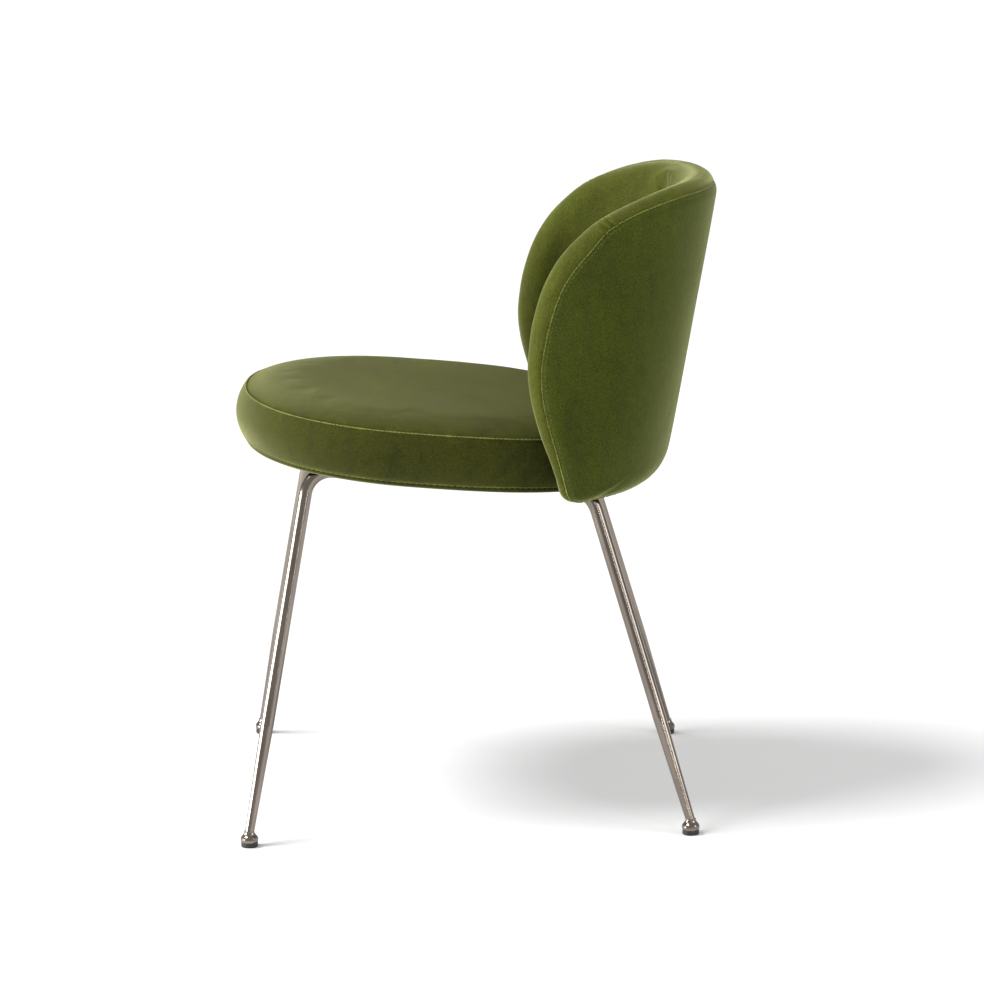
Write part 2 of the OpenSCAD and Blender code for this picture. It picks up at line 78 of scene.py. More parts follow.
def shell_faces(rows, n, pole_a=False, pole_b=False, loop=False):
    """Quads over rows of n points that close round, with a pole before the first row and one after the last.
    Vertex order: rows, then pole a, then pole b."""
    faces = []
    last = rows if loop else rows - 1
    for j in range(last):
        a, b = j * n, ((j + 1) % rows) * n
        for i in range(n):
            k = (i + 1) % n
            faces.append((a + i, a + k, b + k, b + i))
    at = rows * n
    if pole_a:
        faces += [(at, (i + 1) % n, i) for i in range(n)]
        at += 1
    if pole_b:
        base = (rows - 1) * n
        faces += [(at, base + i, base + (i + 1) % n) for i in range(n)]
    return faces


def flip_if_inside_out(verts, faces):
    """Signed volume decides the winding of a closed form."""
    v = np.asarray(verts)
    total = 0.0
    for f in faces:
        for k in range(1, len(f) - 1):
            total += np.dot(v[f[0]], np.cross(v[f[k]], v[f[k + 1]]))
    return [tuple(reversed(f)) for f in faces] if total < 0 else faces


def closed_form(name, rings, pole_a=None, pole_b=None, loop=False):
    """rings: (R, N, 3) in metres."""
    r, n, _ = rings.shape
    verts = rings.reshape(-1, 3)
    if pole_a is not None:
        verts = np.vstack([verts, pole_a])
    if pole_b is not None:
        verts = np.vstack([verts, pole_b])
    faces = shell_faces(r, n, pole_a is not None, pole_b is not None, loop)
    return mesh_object(name, verts, flip_if_inside_out(verts, faces))


def swell(name, rings, free, pole_a=None, pole_b=None, loop=False, pressure=4.0, cap=0.004, ease=0.01):
    """Cloth simulation of a closed form: the points of free rows are blown out by the filling, the others are
    sewn down. Gives each row point's displacement, no longer than cap. The cloth starts a little larger than
    its seams, by the share ease, so that it settles in soft undulations."""
    r, n, _ = rings.shape
    obj = closed_form(name, rings, pole_a, pole_b, loop)
    count = len(obj.data.vertices)
    weight = np.ones(count)
    weight[: r * n] = np.where(np.asarray(free), 0.0, 1.0).repeat(n) if np.ndim(free) == 1 else np.where(free, 0.0, 1.0).ravel()
    if pole_a is not None:
        weight[r * n] = 0.0 if free[0] else 1.0
    if pole_b is not None:
        weight[-1] = 0.0 if free[-1] else 1.0
    group = obj.vertex_groups.new(name="sewn")
    pinned = [int(i) for i in np.nonzero(weight > 0.5)[0]]
    group.add(pinned, 1.0, "REPLACE")
    mod = obj.modifiers.new("Cloth", "CLOTH")
    s = mod.settings
    s.quality = 6
    s.vertex_group_mass = "sewn"
    s.use_pressure = True
    s.uniform_pressure_force = pressure
    s.tension_stiffness = s.compression_stiffness = 20
    s.shear_stiffness = 8
    s.bending_stiffness = 3.0
    s.shrink_min = -ease
    s.effector_weights.gravity = 0
    mod.collision_settings.use_collision = False
    mod.collision_settings.use_self_collision = False
    mod.point_cache.frame_start = 1
    mod.point_cache.frame_end = 20
    for f in range(1, 21):
        scene.frame_set(f)
    deps = bpy.context.evaluated_depsgraph_get()
    out = obj.evaluated_get(deps).to_mesh()
    co = np.empty(count * 3)
    out.vertices.foreach_get("co", co)
    co = co.reshape(-1, 3)[: r * n].reshape(r, n, 3)
    d = co - rings
    obj.evaluated_get(deps).to_mesh_clear()
    mesh = obj.data
    bpy.data.objects.remove(obj, do_unlink=True)
    bpy.data.meshes.remove(mesh)
    scene.frame_set(1)
    d[~np.isfinite(d)] = 0.0
    length = np.linalg.norm(d, axis=-1, keepdims=True)
    print(f"swell {name}: mean {length.mean() * 1000:.2f} mm, most {length.max() * 1000:.2f} mm")
    return d * (cap * np.tanh(length / cap) / np.maximum(length, 1e-12))


def resample_field(d, rows_from, rows_to, n_to):
    """Carries a field from a coarse set of rows to a fine one: rows by their position along the section, and
    columns round the loop."""
    r, n, _ = d.shape
    t = np.arange(n_to) * n / n_to
    i0 = np.floor(t).astype(int)
    u = (t - i0)[None, :, None]
    p = [d[:, (i0 + k) % n] for k in (-1, 0, 1, 2)]
    cols = 0.5 * (2 * p[1] + (p[2] - p[0]) * u + (2 * p[0] - 5 * p[1] + 4 * p[2] - p[3]) * u ** 2
                  + (3 * p[1] - p[0] - 3 * p[2] + p[3]) * u ** 3)
    out = np.empty((len(rows_to), n_to, 3))
    for k in range(3):
        for i in range(n_to):
            out[:, i, k] = np.interp(rows_to, rows_from, cols[:, i, k])
    return out


def row_normals(p, pole_a=None, pole_b=None):
    """Normals of a row grid by central differences (sign not fixed)."""
    du = np.roll(p, -1, axis=1) - np.roll(p, 1, axis=1)
    dv = np.gradient(p, axis=0)
    return unit_rows(np.cross(du, dv))


# ------------------------------------------------------------------ the seat's shape, in mm
SEAT_Z, TILT = 384.8, math.radians(5)
BAND_H, CROWN = 62.5, 14.5
C0, C1 = -71.3, -75.8


def oval(al, a, bf, br, nf, nr):
    dx, dy = np.abs(np.sin(al)), -np.cos(al)
    n = np.where(dy < 0, nf, nr)
    b = np.where(dy < 0, bf, br)
    return ((dx / a) ** n + (np.abs(dy) / b) ** n) ** (-1 / n)


def hem_r(al):
    return oval(al, 212, 184, 236, 2.1, 2.6)


def top_r(al):
    return oval(al, 224, 188, 248.5, 2.2, 2.6)


def bulge(al):
    q = np.abs((np.degrees(al) + 180) % 360 - 180)
    c = np.maximum(0, np.cos(np.radians(q)))
    return (9 + 3.4 * c * c) * (1 - smooth((q - 104) / 18))


def band_r(al, w):
    t = w / BAND_H
    return mix(hem_r(al), top_r(al), t) + bulge(al) * np.maximum(0, np.sin(np.pi * np.clip(t, 0, 1))) ** 0.8


def seat_c(w):
    return mix(C0, C1, w / BAND_H)


def seat_world(x, y, z):
    """Seat frame in mm to the shared frame in metres."""
    c, s = math.cos(TILT), math.sin(TILT)
    x, y, z = np.broadcast_arrays(x, y, z)
    return np.stack([x, y * c + z * s, -y * s + z * c + SEAT_Z], axis=-1) * MM


def seat_ring(al, w, off):
    r = band_r(al, w) + off
    return seat_world(r * np.sin(al), seat_c(w) - r * np.cos(al), w + 0 * al)


def seat_frac(al, f, w):
    r = band_r(al, np.minimum(w, BAND_H)) * 0 + top_r(al) * f
    return seat_world(r * np.sin(al), C1 - r * np.cos(al), w + 0 * al)


def crown_w(f):
    return BAND_H + CROWN * (1 - f ** 9)


def crease(d, depth, width):
    """How far a panel's face drops as it nears a seam at distance d."""
    return depth * np.exp(-(np.maximum(d, 0.0) / width) ** 1.5)


def seat_top_rows(n, step):
    """Rows of the top panel from the middle out to the seam, then the hidden underside back in."""
    al = 2 * np.pi * np.arange(n) / n
    reach = 224.0
    d = np.concatenate([np.arange(reach - step, 16, -step), [13, 10.5, 8.5, 6.8, 5.4, 4.2, 3.2, 2.4, 1.7, 1.1, 0.6, 0.25, 0.0]])
    rows, pos = [], []
    for x in d:
        f = 1 - x / reach
        w = crown_w(f) - crease(x, 1.9, 3.0)
        rows.append(seat_frac(al, f * (1 - 0.0012 * np.exp(-x / 1.5)), w))
        pos.append(reach - x)
    tail = [(0.993, 59.5), (0.975, 56.7), (0.9, 56.1), (0.5, 56.1)]
    for f, w in tail:
        rows.append(seat_frac(al, f, w))
        pos.append(reach + 10 * (1 - f) + 1)
    return np.array(rows), np.array(pos), len(d), al


def seat_band_rows(n, levels):
    al = 2 * np.pi * np.arange(n) / n
    rows, pos = [], []
    for w in levels:
        top = crease(BAND_H - w, 1.1, 2.6)
        low = crease(w - 6.2, 1.5, 2.0)
        rows.append(seat_ring(al, w, -top - low))
        pos.append(BAND_H - w)
    return np.array(rows), np.array(pos), al


# ------------------------------------------------------------------ the back's shape, in mm
BACK_Y0, NB, HALF_T = 53.7, 2.4, 21.0


def mid_a(z):
    return mix(218.0, 172.0, smooth((z - 415) / 225))


def mid_b(z):
    return 205 + 0.192 * (z - 450) - BACK_Y0


def mid_pt(ph, z):
    a, b = mid_a(z), mid_b(z)
    s, c = np.sin(ph), np.cos(ph)
    r = ((np.abs(s) / a) ** NB + (np.abs(c) / b) ** NB) ** (-1 / NB)
    ph, z, r = np.broadcast_arrays(ph, z, r)
    return np.stack([r * np.sin(ph), BACK_Y0 + r * np.cos(ph), z], axis=-1)


def mid_n(ph, z):
    e, k = math.radians(0.4), 0.4
    du = mid_pt(ph + e, z) - mid_pt(ph - e, z)
    dz = mid_pt(ph, z + k) - mid_pt(ph, z - k)
    return unit_rows(np.cross(dz, du))


def ang_y(t, z):
    a, b = mid_a(z), mid_b(z)
    return math.atan2(a * (1 - (t / b) ** NB) ** (1 / NB), t)


def ang_x(x, z):
    a, b = mid_a(z), mid_b(z)
    return math.atan2(x, b * (1 - (x / a) ** NB) ** (1 / NB))


HUB_Z, ARC_R = 545.0, 188.0
crest_bottom = [(0, 375.3), (40, 375.3), (80, 375.3), (115, 375.3), (145, 375.3), (170, 375), (190, 374.3), (203, 373.3)]
crest_front = [(60, 372.4), (51, 371.6), (43, 373.2), (37.5, 377.5), (34, 384), (31.5, 392), (28.5, 401), (22.5, 420),
               (15.3, 440), (9.8, 460), (5.3, 480), (2.6, 500), (2, 520), (4, 540), (7, 560), (12.2, 580), (19, 600),
               (28.3, 619), (41, 638), (58, 656), (78, 672.8)]
crest_top = [(153, 688), (138, 698), (117, 704.3), (90, 707), (60, 708), (30, 708.3), (0, 708.3)]
half_crest = ([(ang_x(x, z), z) for x, z in crest_bottom] + [(ang_y(t, z), z) for t, z in crest_front]
              + [(ang_x(x, z), z) for x, z in crest_top])
crest_knots = np.array(half_crest + [(-p, z) for p, z in half_crest[-2:0:-1]])


def periodic_spline(points, samples, soften):
    """A closed smooth line through points, resampled evenly and eased by soften passes."""
    p = np.asarray(points, float)
    seg = np.linalg.norm(np.roll(p, -1, axis=0) - p, axis=1)
    dense = []
    m = len(p)
    for i in range(m):
        p0, p1, p2, p3 = p[(i - 1) % m], p[i], p[(i + 1) % m], p[(i + 2) % m]
        t0 = 0.0
        t1 = t0 + max(seg[(i - 1) % m], 1e-6) ** 0.5
        t2 = t1 + max(seg[i], 1e-6) ** 0.5
        t3 = t2 + max(seg[(i + 1) % m], 1e-6) ** 0.5
        for u in np.linspace(0, 1, 24, endpoint=False):
            t = t1 + (t2 - t1) * u
            a1 = (t1 - t) / (t1 - t0) * p0 + (t - t0) / (t1 - t0) * p1
            a2 = (t2 - t) / (t2 - t1) * p1 + (t - t1) / (t2 - t1) * p2
            a3 = (t3 - t) / (t3 - t2) * p2 + (t - t2) / (t3 - t2) * p3
            b1 = (t2 - t) / (t2 - t0) * a1 + (t - t0) / (t2 - t0) * a2
            b2 = (t3 - t) / (t3 - t1) * a2 + (t - t1) / (t3 - t1) * a3
            dense.append((t2 - t) / (t2 - t1) * b1 + (t - t1) / (t2 - t1) * b2)
    dense = np.array(dense)

    def even(q, count):
        s = np.concatenate([[0], np.cumsum(np.linalg.norm(np.diff(np.vstack([q, q[:1]]), axis=0), axis=1))])
        at = np.linspace(0, s[-1], count, endpoint=False)
        w = np.vstack([q, q[:1]])
        return np.stack([np.interp(at, s, w[:, k]) for k in range(2)], axis=1)

    fine = even(dense, 720)
    for _ in range(soften):
        fine = 0.25 * np.roll(fine, 1, axis=0) + 0.5 * fine + 0.25 * np.roll(fine, -1, axis=0)
    return even(fine, samples)


class BackGrid:
    def __init__(self, n):
        flat_knots = np.stack([crest_knots[:, 0] * ARC_R, crest_knots[:, 1] - HUB_Z], axis=1)
        q = periodic_spline(flat_knots, n, 10)
        self.n = n
        self.ph, self.z = q[:, 0] / ARC_R, q[:, 1] + HUB_Z
        t = np.roll(q, -1, axis=0) - np.roll(q, 1, axis=0)
        t /= np.linalg.norm(t, axis=1, keepdims=True)
        nrm = np.stack([t[:, 1], -t[:, 0]], axis=1)
        lq = np.linalg.norm(q, axis=1)
        c = np.maximum(0.45, np.abs((nrm * q).sum(axis=1) / lq))
        for _ in range(6):
            c = 0.25 * np.roll(c, 1) + 0.5 * c + 0.25 * np.roll(c, -1)
        self.len = lq * c
        deg = np.degrees(self.ph)
        self.rim = (24 + 11 * smooth((430 - self.z) / 40) * smooth((72 - np.abs(deg)) / 29)
                    - 3.5 * smooth((self.z - 655) / 45))
        z = self.z
        self.seam = (1.2 + 5 * smooth((z - 373) / 9) + 3 * smooth((z - 400) / 45)
                     + 8.5 * smooth((z - 460) / 130) - 9 * smooth((z - 635) / 55))
        for _ in range(max(2, int(36 * (n / 504) ** 2))):
            self.seam = 0.25 * np.roll(self.seam, 1) + 0.5 * self.seam + 0.25 * np.roll(self.seam, -1)
            self.rim = 0.25 * np.roll(self.rim, 1) + 0.5 * self.rim + 0.25 * np.roll(self.rim, -1)
        self.theta_seam = np.arccos(1 - self.seam / self.rim)

    def point(self, d, o):
        """d: distance in from the crest, o: offset from the mid surface; each a number or an array of n."""
        f = 1 - d / self.len
        ph = self.ph * f
        z = HUB_Z + (self.z - HUB_Z) * f
        return mid_pt(ph, z) + mid_n(ph, z) * np.reshape(o * np.ones(self.n), (-1, 1))

    def share(self, f, o):
        ph = self.ph * f
        z = HUB_Z + (self.z - HUB_Z) * f
        return mid_pt(ph, z) + mid_n(ph, z) * o

    def rim_at(self, theta, side, drop=0.0):
        d = self.rim * (1 - np.cos(theta))
        return self.point(d, side * (HALF_T * np.sin(theta) - drop))

    def hub(self, o):
        a, b = np.array([0.0]), np.array([HUB_Z])
        return (mid_pt(a, b) + mid_n(a, b) * o)[0]


def back_inner_rows(g, inner_rings, rim_rings, seam_rings):
    """From the hub of the inside face out over the rim to the seam on the outside, then the hidden way back."""
    rows, pos = [], []
    f_rim = 1 - g.rim / g.len
    for k in range(1, inner_rings + 1):
        rows.append(g.point(g.len * (1 - f_rim * (k / inner_rings)), -HALF_T))
        pos.append(k / inner_rings)
    for k in range(1, rim_rings + 1):
        rows.append(g.rim_at(np.pi / 2 * (1 - k / rim_rings), -1))
        pos.append(1 + k / rim_rings)
    for k in range(1, seam_rings + 1):
        q = 1 - (1 - k / seam_rings) ** 1.6
        theta = g.theta_seam * q
        left = (g.theta_seam - theta) * 22.0
        drop = crease(left, 1.3, 2.2)
        rows.append(g.rim_at(theta, 1, drop))
        pos.append(2 + q)
    shown = len(rows)
    ht = HALF_T * np.sin(g.theta_seam)
    rows.append(g.point(g.seam + 0.25, ht - 2.6))
    rows.append(g.point(np.minimum(17.3, g.seam + 1.2), np.minimum(np.maximum(ht - 4.0, 0.6), 4.5)))
    rows.append(g.point(17.4, 0.0))
    rows.append(g.point(17.8, -4.4))
    rows.append(g.point(24.0, -4.4))
    pos += [3.1, 3.2, 3.3, 3.4, 3.5]
    for f in (0.6, 0.3):
        rows.append(g.share(f, -4.4))
        pos.append(4.5 - f)
    return np.array(rows), np.array(pos), shown


def back_outer_rows(g, outer_rings, rim_rings):
    """From the hub of the outside face to the seam, then the hidden way back."""
    rows, pos = [], []
    f_rim = 1 - g.rim / g.len
    for k in range(1, outer_rings + 1):
        rows.append(g.point(g.len * (1 - f_rim * (k / outer_rings)), HALF_T))
        pos.append(k / outer_rings)
    for k in range(1, rim_rings + 1):
        q = 1 - (1 - k / rim_rings) ** 1.6
        theta = mix(np.pi / 2, g.theta_seam, q)
        left = (theta - g.theta_seam) * 22.0
        drop = crease(left, 2.5, 2.2)
        rows.append(g.rim_at(theta, 1, drop))
        pos.append(1 + q)
    shown = len(rows)
    ht = HALF_T * np.sin(g.theta_seam)
    rows.append(g.point(g.seam + 0.8, ht - 3.0))
    rows.append(g.point(np.minimum(18.3, g.seam + 2.6), np.minimum(np.maximum(ht - 4.4, 1.2), 4.8)))
    rows.append(g.point(18.6, 4.6))
    rows.append(g.point(24.0, 4.4))
    pos += [2.1, 2.2, 2.3, 2.4]
    for f in (0.6, 0.3):
        rows.append(g.share(f, 4.4))
        pos.append(3.5 - f)
    return np.array(rows), np.array(pos), shown


# ------------------------------------------------------------------ materials
def new_material(name):
    mat = bpy.data.materials.new(name)
    mat.use_nodes = True
    nt = mat.node_tree
    nt.nodes.clear()
    out = nt.nodes.new("ShaderNodeOutputMaterial")
    bsdf = nt.nodes.new("ShaderNodeBsdfPrincipled")
    nt.links.new(bsdf.outputs[0], out.inputs[0])
    return mat, nt, bsdf


def node(nt, kind, **values):
    n = nt.nodes.new(kind)
    for k, v in values.items():
        if k in n.inputs:
            n.inputs[k].default_value = v
        else:
            setattr(n, k, v)
    return n


def ramp(nt, source, stops):
    r = nt.nodes.new("ShaderNodeValToRGB")
    r.color_ramp.interpolation = "EASE"
    e = r.color_ramp.elements
    while len(e) > 1:
        e.remove(e[-1])
    e[0].position, e[0].color = stops[0][0], (*stops[0][1], 1)
    for at, col in stops[1:]:
        x = e.new(at)
        x.color = (*col, 1)
    nt.links.new(source, r.inputs[0])
    return r


def srgb(r, g, b):
    def lin(c):
        c /= 255
        return c / 12.92 if c <= 0.04045 else ((c + 0.055) / 1.055) ** 2.4
    return (lin(r), lin(g), lin(b))


def object_coords(nt, scale=(1, 1, 1), rotation=(0, 0, 0)):
    tc = nt.nodes.new("ShaderNodeTexCoord")
    mp = nt.nodes.new("ShaderNodeMapping")
    mp.inputs["Scale"].default_value = scale
    mp.inputs["Rotation"].default_value = rotation
    nt.links.new(tc.outputs["Object"], mp.inputs[0])
    return mp.outputs[0]


def noise_tex(nt, vec, scale, detail=2.0, rough=0.5, distortion=0.0):
    n = nt.nodes.new("ShaderNodeTexNoise")
    n.inputs["Scale"].default_value = scale
    n.inputs["Detail"].default_value = detail
    n.inputs["Roughness"].default_value = rough
    n.inputs["Distortion"].default_value = distortion
    nt.links.new(vec, n.inputs["Vector"])
    return n.outputs["Fac"]


def math_node(nt, op, a, b):
    m = nt.nodes.new("ShaderNodeMath")
    m.operation = op
    for k, v in enumerate((a, b)):
        if isinstance(v, (int, float)):
            m.inputs[k].default_value = v
        else:
            nt.links.new(v, m.inputs[k])
    return m.outputs[0]


def mix_rgb(nt, fac, a, b, blend="MIX"):
    m = nt.nodes.new("ShaderNodeMix")
    m.data_type = "RGBA"
    m.blend_type = blend
    for sock, v in ((m.inputs[0], fac), (m.inputs[6], a), (m.inputs[7], b)):
        if isinstance(v, (int, float)):
            sock.default_value = v
        elif isinstance(v, tuple):
            sock.default_value = (*v, 1)
        else:
            nt.links.new(v, sock)
    return m.outputs[2]


def bump(nt, height, strength, distance, normal=None):
    b = nt.nodes.new("ShaderNodeBump")
    b.inputs["Strength"].default_value = strength
    b.inputs["Distance"].default_value = distance
    nt.links.new(height, b.inputs["Height"])
    if normal is not None:
        nt.links.new(normal, b.inputs["Normal"])
    return b.outputs[0]


def velvet_material(name, deep, mid, light, sheen=0.6, tint=(0.88, 0.90, 0.42), streak=(5, 5, 1.2), sheen_rough=0.36):
    """Cut-pile velvet: broad patches where the nap lies another way, short fibre flecks, and a soft rim of light."""
    mat, nt, b = new_material(name)
    vec = object_coords(nt)
    streaks = object_coords(nt, streak)
    broad = noise_tex(nt, vec, 9.0, 3.0, 0.55, 0.3)
    nap = noise_tex(nt, streaks, 5.0, 3.0, 0.5, 0.3)
    mottle = noise_tex(nt, vec, 85.0, 3.0, 0.6)
    fleck = noise_tex(nt, vec, 700.0, 2.0, 0.7)
    fibre = noise_tex(nt, object_coords(nt, (1, 1, 0.45)), 2600.0, 2.0, 0.6)
    tone = math_node(nt, "ADD", math_node(nt, "MULTIPLY", broad, 0.36),
                     math_node(nt, "ADD", math_node(nt, "MULTIPLY", nap, 0.36), math_node(nt, "MULTIPLY", mottle, 0.28)))
    body = ramp(nt, tone, [(0.36, deep), (0.51, mid), (0.66, light)])
    fl = ramp(nt, fleck, [(0.30, (0.52, 0.54, 0.52)), (0.51, (1.0, 1.0, 1.0)), (0.74, (1.75, 1.66, 1.38))])
    col = mix_rgb(nt, 0.85, body.outputs[0], fl.outputs[0], "MULTIPLY")
    nt.links.new(col, b.inputs["Base Color"])
    rough = ramp(nt, nap, [(0.3, (0.76, 0.76, 0.76)), (0.7, (0.92, 0.92, 0.92))])
    nt.links.new(rough.outputs[0], b.inputs["Roughness"])
    b.inputs["Specular IOR Level"].default_value = 0.08
    b.inputs["Sheen Weight"].default_value = sheen
    b.inputs["Sheen Roughness"].default_value = sheen_rough
    b.inputs["Sheen Tint"].default_value = (*tint, 1)
    soft = bump(nt, mottle, 0.25, 0.0008)
    n2 = bump(nt, fleck, 0.45, 0.0005, soft)
    n3 = bump(nt, fibre, 0.5, 0.00025, n2)
    nt.links.new(n3, b.inputs["Normal"])
    return mat


def thread_material(name, colour):
    mat, nt, b = new_material(name)
    vec = object_coords(nt)
    twist = nt.nodes.new("ShaderNodeTexWave")
    twist.inputs["Scale"].default_value = 420.0
    twist.inputs["Distortion"].default_value = 1.2
    twist.bands_direction = "DIAGONAL"
    nt.links.new(vec, twist.inputs["Vector"])
    dark = tuple(c * 0.55 for c in colour)
    col = ramp(nt, twist.outputs["Fac"], [(0.1, dark), (0.6, colour)])
    nt.links.new(col.outputs[0], b.inputs["Base Color"])
    b.inputs["Roughness"].default_value = 0.62
    b.inputs["Sheen Weight"].default_value = 0.35
    nt.links.new(bump(nt, twist.outputs["Fac"], 0.5, 0.0003), b.inputs["Normal"])
    return mat


def metal_material(name, base, rough_lo, rough_hi, pale_streaks=None):
    """Plated or blasted metal: slow colour drift, a fine grain, faint wiped marks."""
    mat, nt, b = new_material(name)
    vec = object_coords(nt)
    drift = noise_tex(nt, vec, 9.0, 3.0, 0.5)
    grain = noise_tex(nt, vec, 1400.0, 2.0, 0.6)
    marks = noise_tex(nt, object_coords(nt, (60, 60, 5)), 4.0, 5.0, 0.65, 0.5)
    lo = tuple(c * 0.82 for c in base)
    hi = tuple(min(1.0, c * 1.16) for c in base)
    col = ramp(nt, drift, [(0.32, lo), (0.5, base), (0.7, hi)])
    body = col.outputs[0]
    if pale_streaks is not None:
        # Paler lengthwise streaks mixed into the colour where the stretched marks are strongest.
        spot = ramp(nt, marks, [(0.60, (0, 0, 0)), (0.78, (1, 1, 1))])
        body = mix_rgb(nt, math_node(nt, "MULTIPLY", spot.outputs[0], 0.35), body, pale_streaks)
    nt.links.new(body, b.inputs["Base Color"])
    b.inputs["Metallic"].default_value = 1.0
    r = ramp(nt, math_node(nt, "ADD", math_node(nt, "MULTIPLY", marks, 0.6), math_node(nt, "MULTIPLY", grain, 0.4)),
             [(0.34, (rough_lo,) * 3), (0.66, (rough_hi,) * 3)])
    nt.links.new(r.outputs[0], b.inputs["Roughness"])
    nt.links.new(bump(nt, grain, 0.10, 0.00012), b.inputs["Normal"])
    return mat


def plastic_material(name, base):
    mat, nt, b = new_material(name)
    vec = object_coords(nt)
    grain = noise_tex(nt, vec, 1100.0, 3.0, 0.6)
    scuff = noise_tex(nt, vec, 55.0, 5.0, 0.7, 1.0)
    col = ramp(nt, scuff, [(0.45, base), (0.75, tuple(min(1, c * 2.6 + 0.015) for c in base))])
    nt.links.new(col.outputs[0], b.inputs["Base Color"])
    r = ramp(nt, scuff, [(0.3, (0.42,) * 3), (0.7, (0.68,) * 3)])
    nt.links.new(r.outputs[0], b.inputs["Roughness"])
    nt.links.new(bump(nt, grain, 0.35, 0.0003), b.inputs["Normal"])
    return mat


def plywood_material(name):
    mat, nt, b = new_material(name)
    face = noise_tex(nt, object_coords(nt, (3, 26, 3)), 6.0, 6.0, 0.62, 1.4)
    plies = nt.nodes.new("ShaderNodeTexWave")
    plies.bands_direction = "Z"
    plies.inputs["Scale"].default_value = 95.0
    plies.inputs["Distortion"].default_value = 0.4
    nt.links.new(object_coords(nt), plies.inputs["Vector"])
    pores = noise_tex(nt, object_coords(nt, (160, 900, 160)), 2.2, 2.0, 0.6)
    grain = ramp(nt, face, [(0.3, srgb(150, 112, 72)), (0.5, srgb(196, 158, 112)), (0.72, srgb(222, 190, 146))])
    ply = ramp(nt, plies.outputs["Fac"], [(0.2, (0.72, 0.70, 0.68)), (0.6, (1, 1, 1))])
    col = mix_rgb(nt, 0.5, grain.outputs[0], ply.outputs[0], "MULTIPLY")
    nt.links.new(col, b.inputs["Base Color"])
    b.inputs["Roughness"].default_value = 0.7
    nt.links.new(bump(nt, pores, 0.4, 0.0004, bump(nt, face, 0.3, 0.0006)), b.inputs["Normal"])
    return mat


def foam_material(name):
    mat, nt, b = new_material(name)
    vor = nt.nodes.new("ShaderNodeTexVoronoi")
    vor.inputs["Scale"].default_value = 620.0
    nt.links.new(object_coords(nt), vor.inputs["Vector"])
    age = noise_tex(nt, object_coords(nt), 12.0, 3.0, 0.5)
    col = ramp(nt, age, [(0.3, srgb(226, 214, 178)), (0.7, srgb(240, 234, 208))])
    cells = ramp(nt, vor.outputs["Distance"], [(0.0, (0.75, 0.75, 0.75)), (0.5, (1, 1, 1))])
    nt.links.new(mix_rgb(nt, 0.6, col.outputs[0], cells.outputs[0], "MULTIPLY"), b.inputs["Base Color"])
    b.inputs["Roughness"].default_value = 0.95
    nt.links.new(bump(nt, vor.outputs["Distance"], 0.6, 0.0008), b.inputs["Normal"])
    return mat


def dust_material(name):
    """Spun-bonded cloth under a seat: random fibres pressed flat, with a pattern of weld points."""
    mat, nt, b = new_material(name)
    fibres = noise_tex(nt, object_coords(nt, (1, 1, 1)), 340.0, 6.0, 0.75, 2.2)
    chk = nt.nodes.new("ShaderNodeTexVoronoi")
    chk.inputs["Scale"].default_value = 520.0
    chk.inputs["Randomness"].default_value = 0.15
    nt.links.new(object_coords(nt), chk.inputs["Vector"])
    col = ramp(nt, fibres, [(0.3, srgb(20, 20, 21)), (0.6, srgb(38, 38, 40)), (0.8, srgb(62, 62, 64))])
    nt.links.new(col.outputs[0], b.inputs["Base Color"])
    b.inputs["Roughness"].default_value = 0.85
    nt.links.new(bump(nt, chk.outputs["Distance"], 0.5, 0.0003, bump(nt, fibres, 0.4, 0.0003)), b.inputs["Normal"])
    return mat


# The velvet panels are one fabric. Their base colours differ by panel to match how each face is lit: painted light and
# shade, darkest on the seat band, lightest on the inside face of the back.
DEEP, MID, LIGHT = srgb(49, 55, 13), srgb(56, 63, 16), srgb(63, 71, 19)
velvet_top = velvet_material("velvet_seat_top", srgb(48, 51, 15), srgb(59, 62, 19), srgb(72, 75, 27), sheen=0.33, streak=(2.2, 6, 6))
velvet_band = velvet_material("velvet_seat_band", srgb(42, 45, 10), srgb(51, 54, 13), srgb(61, 65, 18), sheen=0.58)
velvet_out = velvet_material("velvet_back_outside", DEEP, MID, LIGHT, sheen=0.5, streak=(9, 9, 0.9))
# Seam-edge velvet, much lighter than the panels: a painted highlight standing in for the lit fold along each seam.
velvet_edge_painted_highlight = velvet_material("velvet_seam_edge_painted_highlight", srgb(76, 79, 22), srgb(100, 103, 34), srgb(126, 128, 50), 0.4)
thread_light = thread_material("thread_olive", srgb(128, 136, 70))
thread_mid = thread_material("thread_moss", srgb(112, 120, 62))
thread_dark = thread_material("thread_dark", srgb(52, 58, 20))
bronze = metal_material("bronze_metal", srgb(132, 123, 114), 0.10, 0.22, pale_streaks=srgb(164, 154, 142))
blackened = metal_material("blackened_steel", srgb(62, 61, 60), 0.34, 0.55)
zinc = metal_material("zinc_steel", srgb(186, 190, 194), 0.26, 0.46)
pad_black = plastic_material("glide_plastic", srgb(26, 25, 24))
ply = plywood_material("moulded_plywood")
foam = foam_material("foam_cells")
dust = dust_material("dust_cloth")
cord_mat = thread_material("hem_cord_fibre", srgb(188, 182, 160))


# ------------------------------------------------------------------ build: seat
ALL = {}


def keep(obj, mat, slot_name, *nodes, pad=None):
    obj.data.materials.clear()
    obj.data.materials.append(mat)
    if nodes:
        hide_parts(*nodes)
    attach(obj, "root")
    ALL[obj.name] = obj
    return obj


